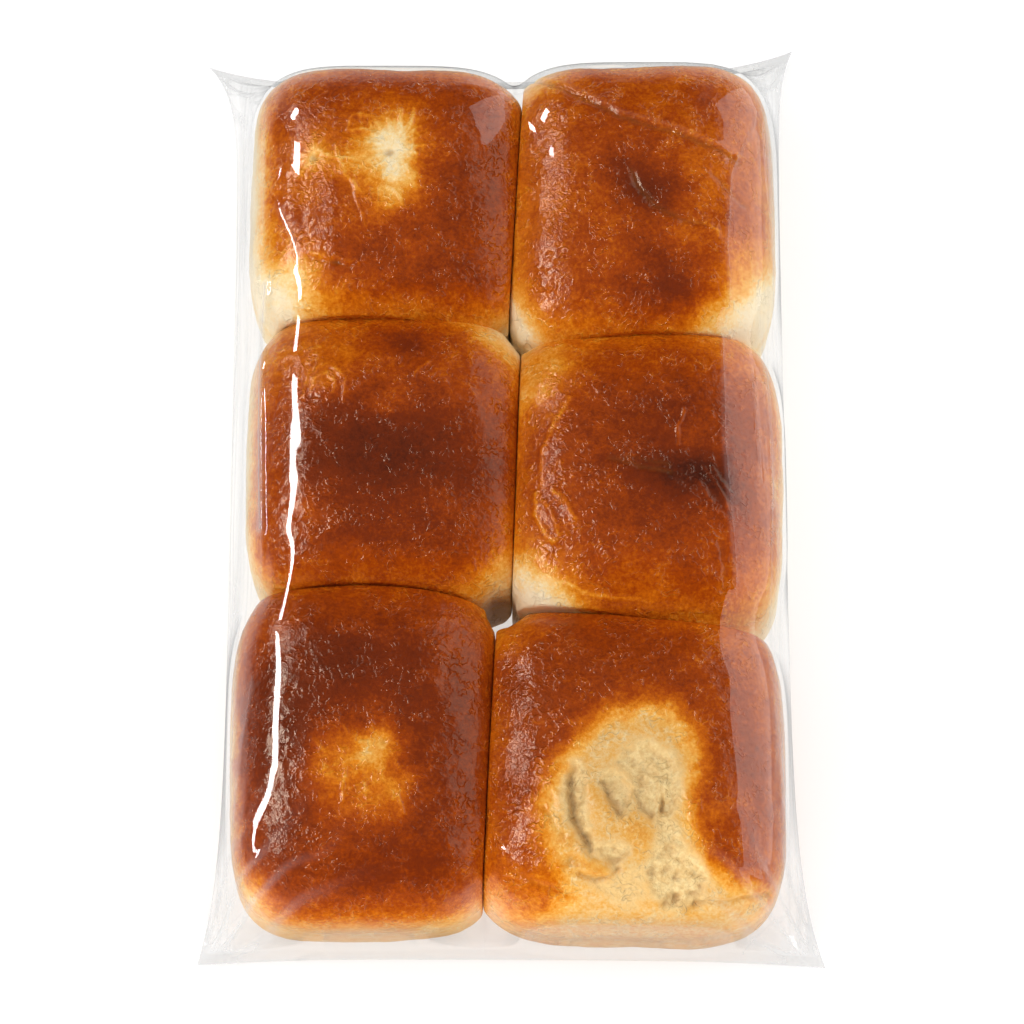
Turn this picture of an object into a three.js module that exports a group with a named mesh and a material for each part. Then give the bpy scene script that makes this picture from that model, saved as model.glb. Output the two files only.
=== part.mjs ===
// A pack of six soft milk rolls, baked touching in two columns of three and sealed in a clear film bag.
// The bag lies flat. It is one closed body: film and rolls together, out to the film's own outside.
// The film is drawn tight over six crowns, dips into the joins between them, falls straight to the
// bag's side edges, and is pressed flat in a seal at each end, with an ear at each corner.
// Millimetres. X runs across the two columns, Y along the three rows to the back, Z up.
// The origin is on the surface that the pack lies on, at the middle of its footprint.
import * as THREE from "three";

// The bag's outline, seen from above.
const BAG = {
  halfLength: 143.8, // to the ears' tips
  waistWest: 81.8, // half widths beside the middle rolls
  waistEast: 83.0,
  ears: {
    // out: how far the corner flares past the waist; back: how far it stops short of halfLength
    southWest: { out: 7.0, back: 0.8 },
    southEast: { out: 8.7, back: 0 },
    northWest: { out: 9.9, back: 5.4 },
    northEast: { out: 5.4, back: 0 },
  },
  flareSouth: 22, // distance over which a corner's flare fades along the side
  flareNorth: 12,
  bowSouth: 2.2, // how far the end seals draw in between their ears
  bowNorth: 7.0,
};
BAG.waistMean = (BAG.waistWest + BAG.waistEast) / 2;

// The seals, side edges and underside.
const SEAL = {
  width: 3.2, // flat strip where the two films are welded
  height: 2.6, // above the surface
  earLift: 1.6, // extra height of the ears' tips
};
const SIDE_EDGE_HEIGHT = 9; // where the film above and the film below meet, beside the rolls
const SIDE_EDGE_FADE = 16; // distance from the ends over which the side edge drops to the seal
const RIM = 0.8; // thickness of the pressed edge all round
const FLOOR_INSET = 9.5; // from the outline to the flat that the pack lies on

// The six rolls. Joins are the lines where two rolls meet; the outer sides stand free.
const JOIN_X = { back: 3.0, middle: 3.0, front: -4.9 };
const JOIN_Y = { left: [41.4, -40.8], right: [36.1, -49.2] };
const OUTER_X = { back: [-77.2, 80.8], middle: [-76.6, 81.4], front: [-79.6, 80.4] };
const OUTER_Y = { left: [126.5, -137.6], right: [127.5, -139.6] };
const CROWN = {
  back: { left: 49.5, right: 50.5 },
  middle: { left: 50.0, right: 51.0 },
  front: { left: 50.5, right: 51.5 },
};
const JOIN_SPREAD = 1.14; // a roll would be this much wider if its neighbour didn't stop it
const WIDEST = 0.36; // height of a roll's widest line, as a share of its crown
const PLAN_POWER = 4.2; // how square a roll is from above
const DOME_POWER = 3.0; // how full its shoulders are

// The film over the rolls.
const FILM = {
  clearSide: 0.9, // air between crust and film
  clearTop: 0.9,
  sag: 0.012, // how strongly the film is drawn down, as curvature in 1/mm
  passes: 900, // rounds of pulling it tight
};

// The grid that carries the film above the rolls.
const ACROSS = 48;
const ALONG = 80;
const CROWD = 0.72; // how much the grid crowds towards the bag's edges, 0 to 1

// One roll's centre, its half sizes on each side, let out where it is joined, and its side planes.
// A side that stands free keeps its own size.
function makeRoll(row, column) {
  const rows = ["back", "middle", "front"];
  const index = rows.indexOf(row);
  const left = column === "left";
  const west = left ? OUTER_X[row][0] : JOIN_X[row];
  const east = left ? JOIN_X[row] : OUTER_X[row][1];
  const north = index === 0 ? OUTER_Y[column][0] : JOIN_Y[column][index - 1];
  const south = index === 2 ? OUTER_Y[column][1] : JOIN_Y[column][index];
  const centre = new THREE.Vector2((west + east) / 2, (south + north) / 2);
  const stands = { west: left, east: !left, north: index === 0, south: index === 2 };
  const reach = (half, free) => half * (free ? 1 : JOIN_SPREAD);
  return {
    west, east, south, north, centre,
    crown: CROWN[row][column],
    reachWest: reach(centre.x - west, stands.west),
    reachEast: reach(east - centre.x, stands.east),
    reachSouth: reach(centre.y - south, stands.south),
    reachNorth: reach(north - centre.y, stands.north),
  };
}

const ROLLS = ["back", "middle", "front"].flatMap((row) =>
  ["left", "right"].map((column) => makeRoll(row, column)));

// Height of a roll's crust over a point, let out by the film's clearance, or 0 beside the roll.
function crustHeight(roll, x, y) {
  const side = FILM.clearSide;
  if (x < roll.west - side || x > roll.east + side) return 0;
  if (y < roll.south - side || y > roll.north + side) return 0;
  const dx = x - roll.centre.x;
  const dy = y - roll.centre.y;
  const u = Math.abs(dx) / ((dx < 0 ? roll.reachWest : roll.reachEast) + side);
  const v = Math.abs(dy) / ((dy < 0 ? roll.reachSouth : roll.reachNorth) + side);
  const out = u ** PLAN_POWER + v ** PLAN_POWER;
  if (out >= 1) return 0;
  const fullness = (1 - out ** (DOME_POWER / PLAN_POWER)) ** (1 / DOME_POWER);
  const widest = WIDEST * roll.crown;
  return widest + (roll.crown - widest) * fullness + FILM.clearTop;
}

// The share of an edge point's distance that the grid keeps, crowded towards both ends of -1..1.
function crowded(p) {
  return (1 - CROWD) * p + CROWD * Math.sin((p * Math.PI) / 2);
}

// Grid place (s, t), each from -1 to 1, to a point of the outline's plan.
function planPoint(s, t) {
  const { ears, halfLength } = BAG;
  const fromSouth = halfLength * (1 + t);
  const fromNorth = halfLength * (1 - t);
  const fadeSouth = Math.exp(-fromSouth / BAG.flareSouth);
  const fadeNorth = Math.exp(-fromNorth / BAG.flareNorth);
  const west = BAG.waistWest + ears.southWest.out * fadeSouth + ears.northWest.out * fadeNorth;
  const east = BAG.waistEast + ears.southEast.out * fadeSouth + ears.northEast.out * fadeNorth;
  const x = THREE.MathUtils.lerp(-west, east, (1 + s) / 2);
  const bow = 1 - s ** 4;
  const lean = (1 + s) / 2;
  const south = halfLength
    - THREE.MathUtils.lerp(ears.southWest.back, ears.southEast.back, lean) - BAG.bowSouth * bow;
  const north = halfLength
    - THREE.MathUtils.lerp(ears.northWest.back, ears.northEast.back, lean) - BAG.bowNorth * bow;
  const y = THREE.MathUtils.lerp(-south, north, (1 + t) / 2);
  return new THREE.Vector2(x, y);
}

// Height of the pressed edge at (s, t) on the outline: low at the end seals, higher along the sides.
function rimHeight(s, t) {
  const fromEnd = BAG.halfLength * (1 - Math.abs(t));
  const along = 1 - Math.exp(-fromEnd / SIDE_EDGE_FADE);
  const ear = SEAL.earLift * Math.abs(s) ** 12 * Math.exp(-fromEnd / SIDE_EDGE_FADE);
  return THREE.MathUtils.lerp(SEAL.height, SIDE_EDGE_HEIGHT, along) + ear;
}

// The film above the rolls, as a grid of heights: pulled tight between the pressed edges, drawn down
// a little into the joins, and never below the crusts.
function tightFilm(points) {
  const count = (ACROSS + 1) * (ALONG + 1);
  const at = (i, j) => j * (ACROSS + 1) + i;
  const floor = new Float64Array(count);
  const height = new Float64Array(count);
  const fixed = new Uint8Array(count);
  for (let j = 0; j <= ALONG; j++) {
    for (let i = 0; i <= ACROSS; i++) {
      const { x, y, s, t } = points[at(i, j)];
      const k = at(i, j);
      floor[k] = Math.max(...ROLLS.map((roll) => crustHeight(roll, x, y)));
      const fromEnd = BAG.halfLength * (1 - Math.abs(t));
      fixed[k] = i === 0 || i === ACROSS || fromEnd <= SEAL.width ? 1 : 0;
      height[k] = fixed[k] ? rimHeight(s, t) + RIM / 2 : Math.max(floor[k], SIDE_EDGE_HEIGHT);
    }
  }
  for (let pass = 0; pass < FILM.passes; pass++) {
    for (let j = 1; j < ALONG; j++) {
      for (let i = 1; i < ACROSS; i++) {
        const k = at(i, j);
        if (fixed[k]) continue;
        const [w, e, n, s] = [at(i - 1, j), at(i + 1, j), at(i, j + 1), at(i, j - 1)];
        const dw = points[k].x - points[w].x;
        const de = points[e].x - points[k].x;
        const dn = points[n].y - points[k].y;
        const ds = points[k].y - points[s].y;
        const kw = 2 / (dw * (dw + de));
        const ke = 2 / (de * (dw + de));
        const kn = 2 / (dn * (dn + ds));
        const ks = 2 / (ds * (dn + ds));
        const pulled = (kw * height[w] + ke * height[e] + kn * height[n] + ks * height[s] - FILM.sag)
          / (kw + ke + kn + ks);
        height[k] = Math.max(floor[k], pulled);
      }
    }
  }
  return height;
}

// Joins two loops of equal length with a strip of triangles that face out when the loops run
// anticlockwise from above and lower is below or inside upper.
function strip(upper, lower, faces) {
  for (let k = 0; k < upper.length; k++) {
    const next = (k + 1) % upper.length;
    faces.push(upper[k], lower[k], lower[next], upper[k], lower[next], upper[next]);
  }
}

// The bag with its six rolls, as one closed body.
function bagGeometry() {
  const position = [];
  const faces = [];
  const addPoint = (x, y, z) => position.push(x, y, z) / 3 - 1;

  // Above: the tight film.
  const grid = [];
  for (let j = 0; j <= ALONG; j++) {
    for (let i = 0; i <= ACROSS; i++) {
      const s = crowded((2 * i) / ACROSS - 1);
      const t = crowded((2 * j) / ALONG - 1);
      const plan = planPoint(s, t);
      grid.push({ x: plan.x, y: plan.y, s, t });
    }
  }
  const height = tightFilm(grid);
  grid.forEach((p, k) => addPoint(p.x, p.y, height[k]));
  const at = (i, j) => j * (ACROSS + 1) + i;
  for (let j = 0; j < ALONG; j++) {
    for (let i = 0; i < ACROSS; i++) {
      const [a, b, c, d] = [at(i, j), at(i + 1, j), at(i + 1, j + 1), at(i, j + 1)];
      faces.push(a, b, c, a, c, d);
    }
  }

  // The outline, anticlockwise from the south-west ear.
  const outline = [];
  for (let i = 0; i < ACROSS; i++) outline.push(at(i, 0));
  for (let j = 0; j < ALONG; j++) outline.push(at(ACROSS, j));
  for (let i = ACROSS; i > 0; i--) outline.push(at(i, ALONG));
  for (let j = ALONG; j > 0; j--) outline.push(at(0, j));

  // Below: the pressed edge's underside, the seal's inner line, and the flat that it lies on.
  const ring = (inset, heightOf) => outline.map((k) => {
    const { s, t } = grid[k];
    const p = planPoint(s * (1 - inset / BAG.waistMean), t * (1 - inset / BAG.halfLength));
    return addPoint(p.x, p.y, heightOf(s, t));
  });
  const underEdge = ring(0, (s, t) => rimHeight(s, t) - RIM / 2);
  const underSeal = ring(SEAL.width, (s, t) => 0.72 * (rimHeight(s, t) - RIM / 2));
  const onFloor = ring(FLOOR_INSET, () => 0);
  strip(outline, underEdge, faces);
  strip(underEdge, underSeal, faces);
  strip(underSeal, onFloor, faces);
  const contour = onFloor.map((k) => new THREE.Vector2(position[3 * k], position[3 * k + 1]));
  for (const [a, b, c] of THREE.ShapeUtils.triangulateShape(contour, [])) {
    faces.push(onFloor[a], onFloor[c], onFloor[b]);
  }

  const geometry = new THREE.BufferGeometry();
  geometry.setAttribute("position", new THREE.Float32BufferAttribute(position, 3));
  geometry.setIndex(faces);
  geometry.computeVertexNormals();
  return geometry;
}

// Baked crust as it shows through glossy film.
const crustUnderFilm = new THREE.MeshStandardMaterial({
  color: new THREE.Color(0.62, 0.29, 0.07),
  roughness: 0.25,
  metalness: 0,
});

const bag = new THREE.Mesh(bagGeometry(), crustUnderFilm);
bag.name = "bag_of_rolls";

const pack = new THREE.Group();
pack.add(bag);

export default pack;
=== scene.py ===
# %% [markdown]
# # Six milk rolls sealed in a clear bag
# The object is a pack of soft rolls that were baked touching, in two columns of three, and then sealed in
# clear film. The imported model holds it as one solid, out to the outside of the film. This lesson replaces
# that solid with what is really there: six separate rolls and the film drawn over them.
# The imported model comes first, because every size below is set against it.

import bpy
import numpy as np
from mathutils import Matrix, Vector


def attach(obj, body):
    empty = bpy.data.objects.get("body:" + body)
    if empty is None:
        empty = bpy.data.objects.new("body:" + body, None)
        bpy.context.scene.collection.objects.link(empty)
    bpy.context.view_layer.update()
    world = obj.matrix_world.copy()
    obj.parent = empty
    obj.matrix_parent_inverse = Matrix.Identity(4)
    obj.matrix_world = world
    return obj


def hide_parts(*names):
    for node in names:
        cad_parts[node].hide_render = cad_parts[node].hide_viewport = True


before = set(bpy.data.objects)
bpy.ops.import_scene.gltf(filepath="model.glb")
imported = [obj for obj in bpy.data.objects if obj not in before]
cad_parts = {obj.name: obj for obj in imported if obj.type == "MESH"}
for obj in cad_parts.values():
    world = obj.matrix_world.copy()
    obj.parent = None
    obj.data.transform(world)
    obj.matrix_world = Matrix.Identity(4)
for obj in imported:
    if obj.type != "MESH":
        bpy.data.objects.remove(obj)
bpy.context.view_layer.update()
MM = 0.001  # the shapes below are worked out in millimetres, and meshes are in metres
BAG_NODE = "bag_of_rolls"

# %% [markdown]
# ## Camera
# The pack is seen from high above its front edge, through a long lens. The near rolls show their front
# sides and the far ones don't, which fixes the tilt at about 72 degrees above the floor. The bag narrows
# only a little towards the back, so the lens is long and stands more than a metre away.

# %% Camera
CAMERA_ELEVATION = np.radians(72)
CAMERA_DISTANCE = 1.180
CAMERA_TARGET = Vector((0.0017, -0.01275, 0.025))
CAMERA_LENS, SENSOR_WIDTH = 141.7, 36.0  # both in mm


def add_camera():
    """Places the camera on a line from the target, up and to the front by the elevation."""
    camera = bpy.data.objects.new("camera", bpy.data.cameras.new("camera"))
    camera.data.sensor_width = SENSOR_WIDTH
    camera.data.lens = CAMERA_LENS
    back = Vector((0, -np.cos(CAMERA_ELEVATION), np.sin(CAMERA_ELEVATION)))
    camera.location = CAMERA_TARGET + back * CAMERA_DISTANCE
    camera.rotation_euler = (np.pi / 2 - CAMERA_ELEVATION, 0, 0)
    bpy.context.scene.collection.objects.link(camera)
    bpy.context.scene.camera = camera
    return camera


print("camera at", [round(x, 3) for x in add_camera().location])

# %% [markdown]
# ## Light
# Clear film shows what it mirrors, so the lamps are of two kinds. Three of them only give light and are
# left out of mirror images: a broad lamp above, a key lamp on the left that models the crowns, and a wide
# fill in front for the near flanks. Two narrow strips are there only to be mirrored. The film's left
# shoulders show the long one as a white streak down the bag, and the short one makes the glints at the
# back corners. A broad, dim softbox on the right does both, and lays a pale veil on the right shoulders.
# Nothing bright is mirrored from straight above, so the crowns keep their full brown.
# A lamp's strength is given as its radiance, how bright it looks, because that is what the film mirrors.

# %% Lights


def add_softbox(name, direction, distance, length, height, radiance, mirrored=True, lights=True):
    """Adds a rectangular lamp that faces the pack. Its power is radiance times pi times its area."""
    lamp = bpy.data.lights.new(name, "AREA")
    lamp.shape = "RECTANGLE"
    lamp.size = length
    lamp.size_y = height
    lamp.energy = radiance * np.pi * length * height
    holder = bpy.data.objects.new(name, lamp)
    away = Vector(direction).normalized()
    holder.location = CAMERA_TARGET + away * distance
    holder.rotation_euler = (-away).to_track_quat("-Z", "Y").to_euler()
    holder.visible_camera = False
    holder.visible_glossy = mirrored
    holder.visible_diffuse = lights
    bpy.context.scene.collection.objects.link(holder)
    return holder


add_softbox("strip_left", (-0.68, 0.09, 0.73), 3.0, length=2.35, height=0.33, radiance=25, lights=False)
add_softbox("strip_back", (-0.57, 0.62, 0.54), 3.0, length=0.42, height=0.26, radiance=30, lights=False)
add_softbox("softbox_right", (0.9, 0.27, 0.36), 3.0, length=5.0, height=3.1, radiance=1.6)
add_softbox("lamp_above", (-0.1, 0.2, 1), 2.5, length=3.0, height=3.0, radiance=1.75, mirrored=False)
add_softbox("key_left", (-0.85, -0.1, 0.7), 2.5, length=1.4, height=1.4, radiance=3.1, mirrored=False)
add_softbox("fill_front", (-0.2, -1, 0.3), 2.5, length=3.0, height=1.2, radiance=5.2, mirrored=False)

scene = bpy.context.scene
scene.view_settings.view_transform = "Standard"

# %% [markdown]
# ## Writing materials as sums
# A material is a graph of nodes, and long graphs are hard to read as code. Here a small class wraps a
# socket, so that a mask can be written as `1 - mask * 0.5` and each operator adds its Math node.
# Every other node comes from one method, which takes the node's type, its settings and its sockets.

# %% Shader helper


class Wire:
    """One shader value. Adding, subtracting, multiplying it or raising it to a power adds a Math node."""

    def __init__(self, bench, socket):
        self.bench = bench
        self.socket = socket

    def math(self, operation, *values):
        return self.bench.node("ShaderNodeMath", {"operation": operation}, dict(enumerate(values)))

    def __add__(self, other):
        return self.math("ADD", self, other)

    def __sub__(self, other):
        return self.math("SUBTRACT", self, other)

    def __rsub__(self, other):
        return self.math("SUBTRACT", other, self)

    def __mul__(self, other):
        return self.math("MULTIPLY", self, other)

    def __pow__(self, other):
        return self.math("POWER", self, other)

    def __abs__(self):
        return self.math("ABSOLUTE", self)

    def clamped(self):
        return self.bench.node("ShaderNodeClamp", {}, {"Value": self})

    __radd__ = __add__
    __rmul__ = __mul__


class Bench:
    """The place where one material's or one sky's nodes are made and wired."""

    def __init__(self, owner):
        owner.use_nodes = True
        self.tree = owner.node_tree
        self.tree.nodes.clear()

    def node(self, kind, settings, sockets, output=0):
        """Adds a node, sets its settings, then sets or links its sockets, and gives one output."""
        made = self.tree.nodes.new(kind)
        for name, value in settings.items():
            if name == "stops":
                self.fill_ramp(made.color_ramp, value)
            else:
                setattr(made, name, value)
        for key, value in sockets.items():
            if isinstance(value, Wire):
                self.tree.links.new(value.socket, made.inputs[key])
            else:
                made.inputs[key].default_value = value
        return Wire(self, made.outputs[output]) if made.outputs else made

    def fill_ramp(self, ramp, stops):
        """Gives a ramp its stops, each a position and a colour."""
        while len(ramp.elements) < len(stops):
            ramp.elements.new(0.5)
        for element, (position, colour) in zip(ramp.elements, stops):
            element.position = position
            element.color = colour

    def mix(self, share, first, second):
        """Blends two colours by share."""
        return self.node(
            "ShaderNodeMix", {"data_type": "RGBA"}, {0: share, 6: first, 7: second}, output=2
        )

    def attribute(self, name):
        """A number that the mesh carries at each of its points."""
        return self.node("ShaderNodeAttribute", {"attribute_name": name}, {}, output=2)

    def noise(self, place, size, detail=3.0, roughness=0.55):
        """Cloudy noise about 0.5, whose lumps are size metres across."""
        sockets = {"Vector": place, "Scale": 1 / size, "Detail": detail, "Roughness": roughness}
        return self.node("ShaderNodeTexNoise", {}, sockets)


def srgb(red, green, blue):
    """A colour given as it looks on screen, 0 to 255, as the linear light that a shader needs."""
    share = np.array([red, green, blue]) / 255
    linear = np.where(share <= 0.04045, share / 12.92, ((share + 0.055) / 1.055) ** 2.4)
    return (*[float(c) for c in linear], 1.0)


# %% [markdown]
# ## Surroundings
# The sky is nearly black overhead, like a studio with a dark ceiling, so that the crowns' mirror image
# stays dark. It is white low down at the sides, where the steep film mirrors it and looks as bright as the
# table. Low down in front and behind it is darker, as the photo's film is clearer there.

# %% Sky
SKY_STOPS = [
    (0.0, (1.0, 1.0, 1.0, 1)),
    (0.06, (0.5, 0.5, 0.5, 1)),
    (0.2, (0.1, 0.1, 0.1, 1)),
    (0.4, (0.03, 0.03, 0.03, 1)),
    (1.0, (0.02, 0.02, 0.02, 1)),
]
SKY_DARK = (0.02, 0.02, 0.02, 1)
WHITE_TO_SIDES, WHITE_TO_BACK = 2.4, 0.4  # how fast the sky turns from dark to the ramp in these directions


def add_sky():
    """Colours the sky by its direction: a ramp over its upward part, and a blend to dark at the front."""
    scene.world = bpy.data.worlds.new("studio")
    bench = Bench(scene.world)
    direction = bench.node("ShaderNodeTexCoord", {}, {})
    east, north, up = [
        bench.node("ShaderNodeSeparateXYZ", {}, {0: direction}, output=axis) for axis in range(3)
    ]
    by_height = bench.node("ShaderNodeValToRGB", {"stops": SKY_STOPS}, {0: up})
    white = (abs(east) * WHITE_TO_SIDES + north * WHITE_TO_BACK).clamped()
    light = bench.node("ShaderNodeBackground", {}, {"Color": bench.mix(white, SKY_DARK, by_height)})
    bench.node("ShaderNodeOutputWorld", {}, {"Surface": light})


add_sky()
print("sky brightness from level to straight up:", [colour[0] for _, colour in SKY_STOPS])

# %% [markdown]
# ## Floor
# A plain white table carries the pack's soft shadow. It is a single large square, far wider than any view.
# A photo on white is lit until the table goes blank round the pack, and only the contact shadow stays. So
# part of the table's brightness is a glow here, which no shadow takes away.

# %% Floor
FLOOR_HALF = 12.0
FLOOR_GLOW, FLOOR_WHITE = 0.62, 0.42
FLOOR_DROP = 0.00005  # the floor lies this far under the bag, so that the two surfaces never coincide


def add_floor():
    """One square, of a material that adds a glow to a plain white. It is left out of mirror images."""
    square = ((-1, -1), (1, -1), (1, 1), (-1, 1))
    corners = [(x * FLOOR_HALF, y * FLOOR_HALF, -FLOOR_DROP) for x, y in square]
    mesh = bpy.data.meshes.new("floor")
    mesh.from_pydata(corners, [], [(0, 1, 2, 3)])
    floor = bpy.data.objects.new("floor", mesh)
    paint = bpy.data.materials.new("white floor")
    bench = Bench(paint)
    white = bench.node("ShaderNodeBsdfDiffuse", {}, {"Color": (FLOOR_WHITE, FLOOR_WHITE, FLOOR_WHITE, 1)})
    glow = bench.node("ShaderNodeEmission", {}, {"Strength": FLOOR_GLOW})
    shader = bench.node("ShaderNodeAddShader", {}, {0: white, 1: glow})
    bench.node("ShaderNodeOutputMaterial", {}, {"Surface": shader})
    mesh.materials.append(paint)
    bpy.context.scene.collection.objects.link(floor)
    floor.visible_glossy = False  # below the horizon, the film mirrors the sky in its place


add_floor()
print("floor,", 2 * FLOOR_HALF, "m across")

# %% [markdown]
# ## The six rolls' places
# Each roll fills its place in the block. Two rolls that touch flatten each other along a join, and the
# sides on the outside of the block stand free. The numbers are the same driving sizes that the packed
# solid was made from: the joins, the free sides and the height of each crown.
# A join is not quite straight, because the stronger dough bulges into the weaker. Both rolls beside it
# must follow the same line, so the line belongs to the join: it leans by a slope and swells by a bow.

# %% Places of the rolls
JOIN_X = {"back": 3.0, "middle": 3.0, "front": -4.9}
JOIN_Y = {"left": (41.4, -40.8), "right": (36.1, -49.2)}
OUTER_X = {"back": (-77.2, 80.8), "middle": (-76.6, 81.4), "front": (-79.6, 80.4)}
OUTER_Y = {"left": (126.5, -137.6), "right": (127.5, -139.6)}
CROWN = {
    ("back", "left"): 49.5,
    ("back", "right"): 50.5,
    ("middle", "left"): 50.0,
    ("middle", "right"): 51.0,
    ("front", "left"): 50.5,
    ("front", "right"): 51.5,
}
ROWS = ("back", "middle", "front")
JOIN_SPREAD = 1.14  # a roll would be this much wider if its neighbour didn't stop it
WIDEST = 0.36  # height of a roll's widest line, as a share of its crown
PLAN_POWER = 4.2  # how square a roll is from above
DOME_POWER = 3.0  # how full its shoulders are
# where a join's line has its middle, its half length, its slope and its bow, in mm
COLUMN_JOINS = {"back": (82, 45, 2.6, 0), "middle": (-3, 42, 1.5, 0), "front": (-92, 46, 2.2, 0)}
ROW_JOINS = {
    "left": ((-37.5, 40, -1.5, 3.6), (-39, 38, -1.2, 4.6)),
    "right": ((41.5, 39.5, 0.9, 3.6), (38, 42.5, -5.5, 0)),
}


class Join:
    """The line between two rolls: place + slope u + bow (1/3 - u^2), with u from -1 to 1 along it. It runs
    on a little past its ends."""

    PAST_END = 1.1

    def __init__(self, place, middle, half, slope, bow):
        self.place = place
        self.middle = middle
        self.half = half
        self.slope = slope
        self.bow = bow

    def line(self, along):
        u = np.clip((along - self.middle) / self.half, -self.PAST_END, self.PAST_END)
        return self.place + self.slope * u + self.bow * (1 / 3 - u * u)


class Roll:
    """A roll's name, the lines that bound it, its middle, and how far it reaches to each side."""

    def __init__(self, row, column):
        index = ROWS.index(row)
        left = column == "left"
        self.name = f"roll_{row}_{column}"
        self.row = row
        self.seed = 10 * index + left
        self.crown = CROWN[row, column]
        self.west = OUTER_X[row][0] if left else JOIN_X[row]
        self.east = JOIN_X[row] if left else OUTER_X[row][1]
        self.north = OUTER_Y[column][0] if index == 0 else JOIN_Y[column][index - 1]
        self.south = OUTER_Y[column][1] if index == 2 else JOIN_Y[column][index]
        self.middle = np.array([(self.west + self.east) / 2, (self.south + self.north) / 2])
        self.joins = {"east" if left else "west": Join(JOIN_X[row], *COLUMN_JOINS[row])}
        if index > 0:
            self.joins["north"] = Join(self.north, *ROW_JOINS[column][index - 1])
        if index < 2:
            self.joins["south"] = Join(self.south, *ROW_JOINS[column][index])
        half_x = (self.east - self.west) / 2
        half_y = (self.north - self.south) / 2
        half = {"west": half_x, "east": half_x, "north": half_y, "south": half_y}
        self.reach = {
            side: half[side] * (JOIN_SPREAD if side in self.joins else 1) for side in half
        }

    def reach_towards(self, dx, dy, extra=0.0):
        """The reach along x and along y for offsets on either side of the middle."""
        along_x = np.where(dx < 0, self.reach["west"], self.reach["east"]) + extra
        along_y = np.where(dy < 0, self.reach["south"], self.reach["north"]) + extra
        return along_x, along_y


rolls = [Roll(row, column) for row in ROWS for column in ("left", "right")]
print("rolls:", {roll.name: [round(float(c), 1) for c in roll.middle] for roll in rolls})

# %% [markdown]
# ## Tools for relief
# Dough has no two spots alike. Its lumps, dents and creases are added to a smooth form as heights in
# millimetres. Random lumps come from a lattice of random numbers, blended smoothly, which costs a few
# array sums however many points there are. Dents, creases and rays are written as short formulas.

# %% Relief functions
LATTICE_TURN = np.array([[0.36, 0.48, -0.8], [-0.8, 0.6, 0.0], [0.48, 0.64, 0.6]])
CELL_PRIMES, SEED_PRIME = np.array([73856093, 19349663, 83492791]), 7919
SCRAMBLE, SIXTEEN_BITS = 1274126177, 0xFFFF


def smooth_step(value, low, high):
    """0 below low, 1 above high, and 3t^2 - 2t^3 between them."""
    t = np.clip((value - low) / (high - low), 0, 1)
    return t * t * (3 - 2 * t)


def lumps(points, size, seed):
    """Random heights from -1 to 1. The cells of a turned lattice, size mm wide, have a random number at
    each corner, and a point blends the eight corners round it by its smoothed place in the cell. A corner's
    number is made from its place and the seed by multiplying with primes, shifting and keeping 16 bits."""
    place = points @ LATTICE_TURN.T / size + 0.37 * seed
    cell = np.floor(place).astype(np.int64)
    t = smooth_step(place - cell, 0, 1)
    total = np.zeros(len(points))
    for corner in np.ndindex(2, 2, 2):
        key = (cell + corner) @ CELL_PRIMES + seed * SEED_PRIME
        key = (key ^ (key >> 13)) * SCRAMBLE
        value = 2 * ((key ^ (key >> 16)) & SIXTEEN_BITS) / SIXTEEN_BITS - 1
        total += value * np.prod(np.where(corner, t, 1 - t), axis=1)
    return total


def layered(points, seed, layers):
    """Lumps of several sizes added up. Each layer is a size, a height and a step of the seed."""
    return sum(height * lumps(points, size, seed + step) for size, height, step in layers)


def swayed(points, size, seed):
    """Two sets of lumps side by side, to move places about along x and along y."""
    return np.column_stack([lumps(points, size, seed), lumps(points, size, seed + 1)])


def level(plan):
    """Places of a plan as points in space, at height 0."""
    return np.column_stack([plan, np.zeros(len(plan))])


def ridges(points, size, seed):
    """Thin ridges from 0 to 1, where random lumps pass through nothing."""
    return (1 - np.abs(lumps(points, size, seed))) ** 4


def spot(plan, at, radius, stretch=1.0, angle=0.0):
    """A soft round mark: e to the minus squared distance over radius, stretched along a turned axis."""
    turn = np.radians(angle)
    d = plan - np.array(at)
    along = (d[:, 0] * np.cos(turn) + d[:, 1] * np.sin(turn)) / (radius * stretch)
    across = (d[:, 1] * np.cos(turn) - d[:, 0] * np.sin(turn)) / radius
    return np.exp(-(along**2) - across**2)


def distance_to(plan, path):
    """Distance of each point from a path of straight stretches: the least over its stretches."""
    path = np.array(path, float)
    least = np.full(len(plan), np.inf)
    for start, end in zip(path[:-1], path[1:]):
        step = end - start
        t = np.clip((plan - start) @ step / (step @ step), 0, 1)
        least = np.minimum(least, np.linalg.norm(plan - start - t[:, None] * step, axis=1))
    return least


def groove(plan, path, width):
    """A soft line along a path: e to the minus squared distance over width."""
    return np.exp(-((distance_to(plan, path) / width) ** 2))


def rays(plan, at, radius, count, seed):
    """Wrinkles that run out from a point: a wave round the point, wandering with distance, and faded."""
    d = plan - np.array(at)
    distance = np.linalg.norm(d, axis=1)
    wander = lumps(level(d), radius * 0.6, seed)
    wave = np.cos(count * np.arctan2(d[:, 1], d[:, 0]) + 2.5 * wander)
    fade = np.exp(-((distance / radius) ** 2)) * smooth_step(distance, 0.1 * radius, 0.5 * radius)
    return np.maximum(wave, 0) ** 2 * fade


def depth_inside(plan, path):
    """How far inside a closed path each point lies, negative outside. A point is inside if a line from it
    to the west crosses the path an odd number of times."""
    corners = np.array(path, float)
    inside = np.zeros(len(plan), bool)
    for (x0, y0), (x1, y1) in zip(corners, np.roll(corners, -1, axis=0)):
        spans = (y0 > plan[:, 1]) != (y1 > plan[:, 1])
        crossing = x0 + (x1 - x0) * (plan[:, 1] - y0) / (y1 - y0 if y1 != y0 else 1)
        inside ^= spans & (crossing < plan[:, 0])
    return distance_to(plan, [*path, path[0]]) * np.where(inside, 1, -1)


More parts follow.
